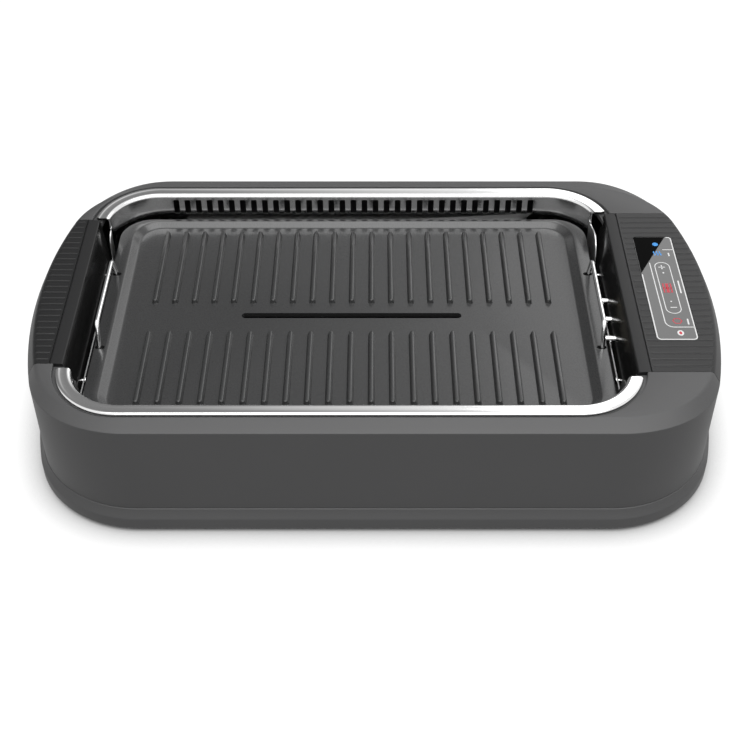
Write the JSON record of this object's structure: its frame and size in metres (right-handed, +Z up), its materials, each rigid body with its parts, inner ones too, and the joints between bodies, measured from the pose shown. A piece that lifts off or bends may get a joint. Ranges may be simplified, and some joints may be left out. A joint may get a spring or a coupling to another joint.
{
  "type": "smokeless indoor grill",
  "caption": "Countertop electric grill with a drop-in ribbed plate, wire handles, water tray, bright pressed liner with rear smoke vents, extractor fan and a touch control pod.",
  "frame": {"origin": "centre of the base footprint on the surface the feet rest on", "axes": "+X to the right, towards the control pod and along the long side; +Y to the rear vents; +Z up"},
  "size_m": [0.5596, 0.33, 0.1067],
  "materials": {
    "housing_black": "satin black",
    "grip_black": "satin black, fine grooves",
    "panel_black": "gloss black with printed touch marks",
    "liner_steel": "polished pressed stainless steel",
    "plate_coated": "dark non-stick coating",
    "wire_chrome": "bright",
    "steel_plain": "plain sheet steel",
    "element_steel": "heat-darkened sheath",
    "contact_brass": "plain",
    "feet_rubber": "matt",
    "insulator": "moulded insulator",
    "inner_plastic": "plain",
    "board": "printed circuit board",
    "lead": "insulated wire"
  },
  "bodies": {
    "housing": {"upper_housing": "housing_black", "lower_housing": "housing_black", "grill_liner": "liner_steel", "left_grip": "grip_black", "control_pod": "grip_black", "touch_panel": "panel_black", "display_module": "inner_plastic", "control_board": "board", "power_board": "board", "terminal_block": "insulator", "contact_pin_front": "wire_chrome", "temperature_probe": "wire_chrome", "contact_pin_rear": "wire_chrome", "heater_lead_front": "lead", "heater_lead_rear": "lead", "power_inlet": "inner_plastic", "inlet_lead": "lead", "inner_tub": "steel_plain", "fan_scroll": "inner_plastic", "fan_cover": "inner_plastic", "fan_motor": "steel_plain", "fan_bearing": "contact_brass", "exhaust_grille": "housing_black", "foot_front_left": "feet_rubber", "foot_rear_left": "feet_rubber", "foot_front_right": "feet_rubber", "foot_rear_right": "feet_rubber", "base_screw_front_left": "steel_plain", "base_screw_rear_left": "steel_plain", "base_screw_front_right": "steel_plain", "base_screw_rear_right": "steel_plain", "liner_screw_front_right": "wire_chrome", "liner_screw_rear_right": "wire_chrome", "liner_screw_front_left": "wire_chrome", "liner_screw_rear_left": "wire_chrome"},
    "tray": {"water_tray": "steel_plain"},
    "plate": {"grill_plate": "plate_coated", "heating_element": "element_steel", "contact_fork_front": "contact_brass", "contact_fork_rear": "contact_brass", "fork_block": "insulator", "element_clamp_front_1": "steel_plain", "element_clamp_rear_1": "steel_plain", "element_clamp_front_2": "steel_plain", "element_clamp_rear_2": "steel_plain"},
    "left_handle": {"handle_left": "wire_chrome"},
    "right_handle": {"handle_right": "wire_chrome"},
    "fan": {"fan_shaft": "steel_plain", "fan_impeller": "inner_plastic"}
  },
  "joints": [
    {"name": "tray_lift", "type": "slide", "parent": "housing", "child": "tray", "axis": [0, 0, 1], "range_m": [0, 0.08]},
    {"name": "plate_lift", "type": "slide", "parent": "tray", "child": "plate", "axis": [0, 0, 1], "range_m": [0, 0.06]},
    {"name": "left_handle_swing", "type": "hinge", "parent": "plate", "child": "left_handle", "pos_m": [-0.2181, 0, 0.0791], "axis": [0, 1, 0], "range_deg": [0, 18]},
    {"name": "right_handle_swing", "type": "hinge", "parent": "plate", "child": "right_handle", "pos_m": [0.1806, 0, 0.0791], "axis": [0, -1, 0], "range_deg": [0, 18]},
    {"name": "fan_spin", "type": "hinge", "parent": "housing", "child": "fan", "pos_m": [-0.03, 0.066, 0.02], "axis": [0, 0, 1], "continuous": true}
  ]
}
